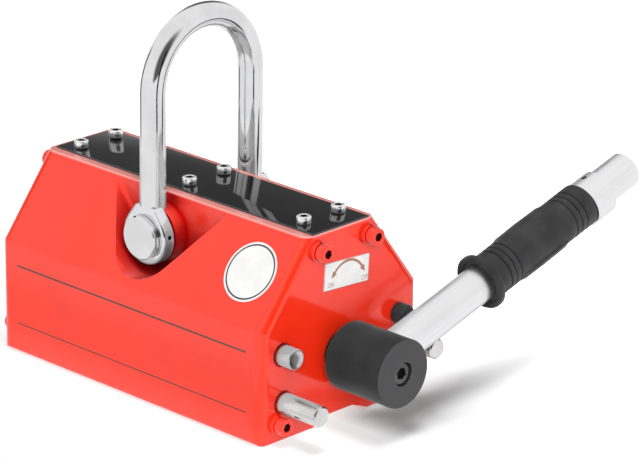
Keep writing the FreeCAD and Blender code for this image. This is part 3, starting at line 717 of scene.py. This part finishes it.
class LIFTER_OT_cover_screws(Operator):
    """Makes the painted cap screws of the two covers"""
    bl_idname = "lifter.cover_screws"
    bl_label = "Cover screws"

    def execute(self, context):
        size = sizes().cover_screw
        half = head_radius(size)
        top_side, foot_side, rounding = 0.0202, 0.0515, 0.0006
        first_turn, next_turn = 0.35, 0.8
        for node, towards in (("front_cover_screws", 1.0), ("rear_cover_screws", -1.0)):
            low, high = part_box(node)
            inner, outer = (low.x, high.x) if towards > 0 else (-high.x, -low.x)
            seat = outer - size
            screw = cap_screw(size, seat - inner, rounding)
            whole = bmesh.new()
            top, foot = high.z - half, low.z + half
            spots = ((top_side, top), (-top_side, top), (foot_side, foot), (-foot_side, foot))
            for index, (y, z) in enumerate(spots):
                place = facing_end((towards * seat, y, z), towards, first_turn + next_turn * index)
                add_copy(whole, screw, place)
            screw.free()
            piece(whole, node + "_detail", ("screw_paint", "painted_socket"), "base", (node,))
        return {"FINISHED"}


class LIFTER_OT_top_plate(Operator):
    """Makes the gloss black plate with rounded edges"""
    bl_idname = "lifter.top_plate"
    bl_label = "Top plate"

    def execute(self, context):
        corner, edge_rounding, skin = 0.0005, 0.0003, 1e-6
        bm = block(plate_high - plate_low, (plate_low + plate_high) / 2)
        rounded(bm, upright(bm), corner, 4)
        rim = [edge for edge in bm.edges if min(vert.co.z for vert in edge.verts) > plate_high.z - skin]
        rounded(bm, rim, edge_rounding, 3)
        piece(bm, "top_plate_detail", ("black_gloss",), "base", ("top_plate",))
        return {"FINISHED"}


class LIFTER_OT_plate_screws(Operator):
    """Makes the six bright screws of the top plate"""
    bl_idname = "lifter.plate_screws"
    bl_label = "Plate screws"

    def execute(self, context):
        low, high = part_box("top_plate_screws")
        size, rounding = sizes().plate_screw, 0.0011
        half = head_radius(size)
        seat = high.z - size
        screw = cap_screw(size, seat - low.z, rounding)
        whole = bmesh.new()
        for row, x in enumerate((low.x + half, (low.x + high.x) / 2, high.x - half)):
            for side, y in enumerate((low.y + half, high.y - half)):
                turn = Matrix.Rotation(0.5 + 0.7 * row + 0.4 * side, 4, "Z")
                add_copy(whole, screw, Matrix.Translation((x, y, seat)) @ turn)
        screw.free()
        piece(whole, "top_plate_screws_detail", ("screw_steel", "screw_socket"), "base",
              ("top_plate_screws",))
        return {"FINISHED"}


class LIFTER_OT_shackle(Operator):
    """Plates the shackle and its two pins"""
    bl_idname = "lifter.shackle"
    bl_label = "Shackle"

    def execute(self, context):
        dress("chrome", "shackle", "near_shackle_pin", "far_shackle_pin")
        return {"FINISHED"}


class LIFTER_OT_hub(Operator):
    """Finishes the hub and makes its socket screw"""
    bl_idname = "lifter.hub"
    bl_label = "Hub"

    def execute(self, context):
        dress("black_satin", "hub")
        low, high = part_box("hub_screw")
        size, rounding = sizes().hub_screw, 0.0007
        seat = high.x - size
        place = facing_end((seat, 0.0, shaft_height), turn=0.2)
        piece(moved(cap_screw(size, seat - low.x, rounding), place), "hub_screw_detail",
              ("dark_steel", "screw_socket"), "handle", ("hub_screw",))
        return {"FINISHED"}


class LIFTER_OT_handle(Operator):
    """Finishes the handle tube, its plug and the collar"""
    bl_idname = "lifter.handle"
    bl_label = "Handle tube"

    def execute(self, context):
        dress("satin_steel", "handle_tube", "tube_plug", "handle_collar")
        return {"FINISHED"}


def along_handle():
    """From a line up Z to the handle's own line, its start in the hub's middle."""
    return (Matrix.Translation((tube_line, 0.0, shaft_height))
            @ Matrix.Rotation(sizes().handle_lean - quarter, 4, "X"))


def groove_row(outer, first, count=3, pitch=0.0045):
    """Round-bottomed grooves of the grip, as points of its profile."""
    section = ((0.0, 0.0), (0.0008, 0.0003), (0.0009, 0.0006), (0.0008, 0.0009), (0.0, 0.0012))
    starts = [first + pitch * index for index in range(count)]
    return [(outer - depth, start + along) for start in starts for depth, along in section]


class LIFTER_OT_grip(Operator):
    """Makes the moulded grip with its flange, grooves and raised panels"""
    bl_idname = "lifter.grip"
    bl_label = "Grip"

    def execute(self, context):
        ours = sizes()
        start, end = ours.grip_start, ours.grip_end
        outer, flange, bore = ours.grip_diameter / 2, ours.flange_diameter / 2, 0.01103
        panel, panel_inset, panel_ramp = outer + 0.0008, 0.0260, 0.0030
        panel_middles, panel_half, margin = (-131.0, 49.0, 229.0), 28.0, 0.0005
        profile = [(bore, start + 0.0020), (outer - 0.0004, start + 0.0020), (flange - 0.0027, start),
                   (flange - 0.0010, start), (flange, start + 0.0013), (flange, start + 0.0037),
                   (flange - 0.0012, start + 0.0050), (outer + 0.0006, start + 0.0053),
                   (outer, start + 0.0064)]
        profile += groove_row(outer, start + 0.0136)
        profile += [(outer, start + panel_inset), (panel, start + panel_inset + panel_ramp),
                    (panel + 0.0002, (start + end) / 2),
                    (panel, end - panel_inset - panel_ramp), (outer, end - panel_inset)]
        profile += groove_row(outer, end - 0.0195)
        profile += [(outer, end - 0.0012), (outer - 0.0012, end), (bore, end)]
        bm = turned(profile, 120, True)
        low, high = start + panel_inset - margin, end - panel_inset + margin
        for vert in bm.verts:
            reach = math.hypot(vert.co.x, vert.co.y)
            turn = math.degrees(math.atan2(vert.co.y, vert.co.x))
            off_panel = min(abs(turn - middle) for middle in panel_middles) > panel_half
            if low < vert.co.z < high and reach > outer and off_panel:
                vert.co.x *= outer / reach
                vert.co.y *= outer / reach
        soften(bm, 0.00025, 2, 18.0)
        piece(moved(bm, along_handle()), "grip_detail", ("rubber",), "handle", ("grip",))
        return {"FINISHED"}


class LIFTER_OT_stops(Operator):
    """Finishes the stop pins and the buffer, and makes the spring button and its coil"""
    bl_idname = "lifter.stops"
    bl_label = "Stops and button"

    def execute(self, context):
        dress("bright_steel", "on_stop_pin", "off_stop_pin")
        dress("rubber", "handle_buffer")
        low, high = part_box("spring_button")
        middle = (low + high) / 2
        tip, rim, tail, flange = high.x - low.x, 0.0060, 0.0028, 0.0075
        profile = [(0.0, 0.0), (tail, 0.0), (tail, 0.0110), (flange, 0.0110), (flange, 0.0140), (rim, 0.0140),
                   (rim, tip - 0.0004), (rim - 0.0004, tip), (rim - 0.0009, tip), (0.0042, tip - 0.0005),
                   (0.0028, tip - 0.00072), (0.0014, tip - 0.0008), (0.0, tip - 0.0008)]
        bm = moved(turned(profile), facing_end((low.x, middle.y, middle.z)))
        piece(bm, "spring_button_detail", ("dull_steel",), "button", ("spring_button",))
        low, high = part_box("button_spring")
        middle = (low + high) / 2
        span, wire, turns, travel = high - low, 0.0013, 5, 0.0081
        bm = moved(coiled((span.y - wire) / 2, wire, span.x, turns), facing_end((low.x, middle.y, middle.z)))
        coil = piece(bm, "button_spring_coil", ("dark_steel",), "base", ("button_spring",))
        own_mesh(coil)
        return {"FINISHED"}


# The switch plate's card, and what is printed on it.
card_thickness, card_corner, card_border = 0.0003, 0.0006, 0.00035
print_lift, print_thickness = 0.00031, 0.00006
arrow_start, arrow_sweep, arrow_shift = math.radians(36), math.radians(107), (0.0012, -0.00654, 0.0)
arrow_half_width, head_half_width, head_length = 0.00075, 0.0019, 0.0042
switch_words = (("ON", -0.01244, -0.00526), ("OFF", 0.0150, -0.00577))
letter_share, letter_narrowing = 0.73, 0.72


def switch_card(ours):
    card = block((ours.switch_width, ours.switch_height, card_thickness), (0, 0, card_thickness / 2))
    rounded(card, upright(card), card_corner, 4)
    use_second_look(inset(card, highest(card), card_border))
    return card


def switch_arrow(radius):
    """A flat arc with a head at each end."""
    bm = bmesh.new()
    reaches = (radius - arrow_half_width, radius + arrow_half_width)
    start = Vector((math.cos(arrow_start), math.sin(arrow_start), 0))
    ends = [bm.verts.new(start * reach) for reach in reaches]
    edge = bm.edges.new(ends)
    bmesh.ops.spin(bm, geom=ends + [edge], cent=(0, 0, 0), axis=(0, 0, 1), angle=arrow_sweep, steps=40,
                   use_merge=False, use_duplicate=False)
    for turn, forward in ((arrow_start, -1.0), (arrow_start + arrow_sweep, 1.0)):
        out = Vector((math.cos(turn), math.sin(turn), 0))
        ahead = Vector((-math.sin(turn), math.cos(turn), 0)) * forward
        tips = (out * (radius + head_half_width), out * (radius - head_half_width),
                out * radius + ahead * head_length)
        bm.faces.new([bm.verts.new(spot) for spot in tips])
    for face in bm.faces:
        face.normal_update()
        if face.normal.z < 0:
            face.normal_flip()
    bmesh.ops.translate(bm, vec=arrow_shift, verts=bm.verts)
    bmesh.ops.solidify(bm, geom=bm.faces, thickness=-print_thickness)
    bmesh.ops.recalc_face_normals(bm, faces=bm.faces)
    return bm


def switch_word(word, x, y, letter_height):
    flat = bpy.data.curves.new(word, "FONT")
    flat.body = word
    flat.align_x = "CENTER"
    flat.align_y = "CENTER"
    flat.size = letter_height / letter_share
    flat.extrude = print_thickness / 2
    flat.resolution_u = 4
    letters = bpy.data.objects.new(word, flat)
    bpy.context.scene.collection.objects.link(letters)
    bpy.context.view_layer.update()
    shape = bpy.data.meshes.new_from_object(letters.evaluated_get(bpy.context.evaluated_depsgraph_get()))
    bpy.data.objects.remove(letters)
    bm = bmesh.new()
    bm.from_mesh(shape)
    bpy.data.meshes.remove(shape)
    bmesh.ops.remove_doubles(bm, verts=bm.verts, dist=1e-7)
    bmesh.ops.scale(bm, vec=(letter_narrowing, 1.0, 1.0), verts=bm.verts)
    bmesh.ops.translate(bm, vec=(x, y, print_thickness / 2), verts=bm.verts)
    return bm


class LIFTER_OT_switch_plate(Operator):
    """Makes the ON and OFF plate with its arrow"""
    bl_idname = "lifter.switch_plate"
    bl_label = "Switch plate"

    def execute(self, context):
        ours = sizes()
        on_face = (Matrix.Translation((end_face, ours.switch_y, ours.switch_z))
                   @ Matrix.Rotation(quarter, 4, "Z") @ Matrix.Rotation(quarter, 4, "X")
                   @ Matrix.Rotation(ours.switch_lean, 4, "Z"))
        on_card = on_face @ Matrix.Translation((0, 0, print_lift))
        card = moved(switch_card(ours), on_face)
        piece(card, "switch_plate", ("plate_white", "word_print"), "base")
        arrow = moved(switch_arrow(ours.arrow_radius), on_card)
        piece(arrow, "switch_arrow", ("switch_print",), "base")
        for word, x, y in switch_words:
            letters = moved(switch_word(word, x, y, ours.letter_height), on_card)
            piece(letters, "switch_word_" + word.lower(), ("word_print",), "base")
        return {"FINISHED"}


class LIFTER_OT_sticker(Operator):
    """Makes the plain round sticker with a ring on the near slope"""
    bl_idname = "lifter.sticker"
    bl_label = "Round sticker"

    def execute(self, context):
        middle, thickness, edge, ring = Vector((0.08065, -0.04472, 0.09252)), 0.00014, 0.0012, 0.0010
        radius = sizes().sticker_diameter / 2
        across = Vector((1.0, 0.0, 0.0))
        up_slope = Vector((0.0, 0.036, 0.047)).normalized()
        out = across.cross(up_slope)
        bm = bmesh.new()
        bmesh.ops.create_cone(bm, cap_ends=True, segments=96, radius1=radius, radius2=radius, depth=thickness,
                              matrix=Matrix.Translation((0, 0, thickness / 2)))
        disc = highest(bm)
        inset(bm, disc, edge)
        use_second_look(inset(bm, disc, ring))
        place = Matrix.Translation(middle) @ Matrix((across, up_slope, out)).transposed().to_4x4()
        piece(moved(bm, place), "round_sticker", ("plate_white", "ring_print"), "base")
        return {"FINISHED"}


# ---- stage

# Soft dark flags that bright metal and gloss mirror: their direction, the cosines where each begins and is
# full, and the light that is left.
flags = (
    ((-0.65, 0.68, 0.34), 0.90, 0.985, 0.13),
    ((0.91, -0.35, 0.21), 0.77, 0.94, 0.12),
)


def stage_floor():
    """A pale floor that glows to white behind the lifter; the near side mirrors a dimmer strip of it."""
    half, drop = 12.0, 0.0004
    bm = bmesh.new()
    bmesh.ops.create_grid(bm, x_segments=1, y_segments=1, size=half)
    bmesh.ops.translate(bm, vec=(0, 0, -drop), verts=bm.verts)
    floor = shown(bm, "floor")
    base = tuple(studio().floor)
    finish = Finish("floor", base, 0.7)
    finish.set("Specular IOR Level", 0.1)
    finish.set("Emission Color", white)
    path = finish.node("ShaderNodeLightPath").outputs
    depth = finish.places()[1]
    begun, ended = finish.ranged(depth, -0.160, -0.125), finish.ranged(depth, -0.100, -0.065, 0.32, 0.0)
    strip = finish.product(begun, ended, path["Is Glossy Ray"])
    finish.set("Base Color", finish.mix(strip, base, black))
    seen = finish.math("MAXIMUM", path["Is Camera Ray"], path["Is Transmission Ray"])
    glow = finish.ranged(depth, 0.06, 0.17, 0.06, 0.72)
    mirrored = finish.product(path["Is Glossy Ray"], 0.06)
    finish.set("Emission Strength", finish.math("MULTIPLY_ADD", seen, glow, mirrored))
    floor.data.materials.append(finish.material)
    return floor


def stage_world():
    """White for the camera, a soft sky for the light, and a white room with flags for what mirrors."""
    world = bpy.data.worlds.new("studio")
    world.use_nodes = True
    bpy.context.scene.world = world
    sky = Nodes(world.node_tree)
    sky.tree.nodes.clear()
    way = sky.node("ShaderNodeTexCoord").outputs["Generated"]
    fades = []
    for direction, low, high, left in flags:
        fades.append(sky.ranged(sky.dot(way, Vector(direction).normalized()), low, high, 1.0, left))
    x, _, z = sky.parts(way)
    soft = sky.product(sky.ranged(x, -0.9, 0.9, 0.16, 0.38), sky.ranged(z, 0.15, 0.95, 1.15, 0.35))
    path = sky.node("ShaderNodeLightPath").outputs
    strengths = {0: path["Is Glossy Ray"], 2: soft, 3: sky.product(*fades)}
    strength = sky.node("ShaderNodeMix", strengths, data_type="FLOAT").outputs[0]
    light = sky.node("ShaderNodeBackground", {"Color": white, "Strength": strength})
    plain = sky.node("ShaderNodeBackground", {"Color": white})
    shaders = {0: path["Is Camera Ray"], 1: light.outputs["Background"], 2: plain.outputs["Background"]}
    choose = sky.node("ShaderNodeMixShader", shaders)
    sky.node("ShaderNodeOutputWorld", {"Surface": choose.outputs["Shader"]})


def stage_card(name, middle, width, height):
    """A dark card on the floor that only bright metal and gloss mirror."""
    thickness = 0.01
    card = shown(block((thickness, width, height), (*middle, height / 2)), name)
    card.visible_camera = False
    card.visible_diffuse = False
    card.visible_shadow = False
    card.data.materials.append(Finish(name, (0.01, 0.01, 0.01), 0.9).material)


def light_group(name, objects, state="INCLUDE"):
    """A list of objects that a lamp lights or that shade it."""
    group = bpy.data.collections.new(name)
    for item in objects:
        group.objects.link(item)
    for entry in group.collection_objects:
        entry.light_linking.link_state = state
    return group


def stage_sun(name, towards, strength, spread, lit=None, shading=None):
    """A soft lamp towards one side; where groups are given, it lights and is shaded by these alone."""
    lamp = bpy.data.lights.new(name, "SUN")
    lamp.energy = strength
    lamp.angle = math.radians(spread)
    made = bpy.data.objects.new(name, lamp)
    made.visible_glossy = False
    made.light_linking.receiver_collection = lit
    made.light_linking.blocker_collection = shading
    made.rotation_euler = Vector(towards).to_track_quat("Z", "Y").to_euler()
    bpy.context.scene.collection.objects.link(made)


def stage_camera():
    ours = studio()
    turn, height = ours.azimuth, ours.elevation
    back = Vector((math.sin(turn) * math.cos(height), -math.cos(turn) * math.cos(height), math.sin(height)))
    right = Vector((math.cos(turn), math.sin(turn), 0.0))
    up = back.cross(right)
    level, plumb = math.cos(ours.roll), math.sin(ours.roll)
    right, up = right * level + up * plumb, up * level - right * plumb
    eye = back * ours.distance + right * ours.across + up * ours.rise
    lens = bpy.data.cameras.new("camera")
    lens.sensor_width = 36.0
    lens.sensor_fit = "HORIZONTAL"
    lens.lens = ours.lens
    lens.clip_end = 60.0
    camera = bpy.data.objects.new("camera", lens)
    camera.matrix_world = Matrix.Translation(eye) @ Matrix((right, up, back)).transposed().to_4x4()
    bpy.context.scene.collection.objects.link(camera)
    bpy.context.scene.camera = camera


class LIFTER_OT_stage(Operator):
    """Sets the floor, the light and the camera"""
    bl_idname = "lifter.stage"
    bl_label = "Stage"

    def execute(self, context):
        context.scene.view_settings.view_transform = "Standard"
        floor = stage_floor()
        stage_world()
        stage_card("dark_card", (0.464, -0.088), 0.10, 0.35)
        stage_card("left_card", (-0.44, -0.147), 0.12, 0.35)
        handle = [nodes["hub"], nodes["handle_tube"], bpy.data.objects["grip_detail"]]
        stage_sun("key", (0.16, -0.10, 0.97), 1.0, 18.0)
        stage_sun("front", (0.62, -0.60, 0.45), 2.6, 40.0, light_group("all_but_floor", [floor], "EXCLUDE"))
        stage_sun("floor_sun", (0.17, -0.64, 0.75), 2.6, 30.0, light_group("floor_only", [floor]),
                  light_group("floor_shade", handle))
        stage_camera()
        return {"FINISHED"}


operators = (LIFTER_OT_body, LIFTER_OT_rotor, LIFTER_OT_cover_screws, LIFTER_OT_top_plate,
             LIFTER_OT_plate_screws, LIFTER_OT_shackle, LIFTER_OT_hub, LIFTER_OT_handle, LIFTER_OT_grip,
             LIFTER_OT_stops, LIFTER_OT_switch_plate, LIFTER_OT_sticker, LIFTER_OT_stage)


class LIFTER_PT_panel(Panel):
    """Lists the lifter's pieces, sizes and colours"""
    bl_idname = "LIFTER_PT_panel"
    bl_label = "Magnetic lifter"
    bl_space_type = "VIEW_3D"
    bl_region_type = "UI"
    bl_category = "Lifter"

    def draw(self, context):
        column = self.layout.column()
        for operator in operators:
            column.operator(operator.bl_idname)
        for group in (colours(), sizes(), studio()):
            box = self.layout.box()
            for name in group.__annotations__:
                box.prop(group, name)


classes = (LifterColours, LifterSizes, LifterStudio, *operators, LIFTER_PT_panel)


def register():
    for item in classes:
        bpy.utils.register_class(item)
    bpy.types.Scene.lifter_colours = PointerProperty(type=LifterColours)
    bpy.types.Scene.lifter_sizes = PointerProperty(type=LifterSizes)
    bpy.types.Scene.lifter_studio = PointerProperty(type=LifterStudio)


def unregister():
    del bpy.types.Scene.lifter_studio
    del bpy.types.Scene.lifter_sizes
    del bpy.types.Scene.lifter_colours
    for item in reversed(classes):
        bpy.utils.unregister_class(item)


def main():
    register()
    make_effects()
    make_finishes()
    bpy.ops.lifter.body()
    bpy.ops.lifter.rotor()
    bpy.ops.lifter.cover_screws()
    bpy.ops.lifter.top_plate()
    bpy.ops.lifter.plate_screws()
    bpy.ops.lifter.shackle()
    bpy.ops.lifter.hub()
    bpy.ops.lifter.handle()
    bpy.ops.lifter.grip()
    bpy.ops.lifter.stops()
    bpy.ops.lifter.switch_plate()
    bpy.ops.lifter.sticker()
    bpy.ops.lifter.stage()


if __name__ == "__main__":
    main()
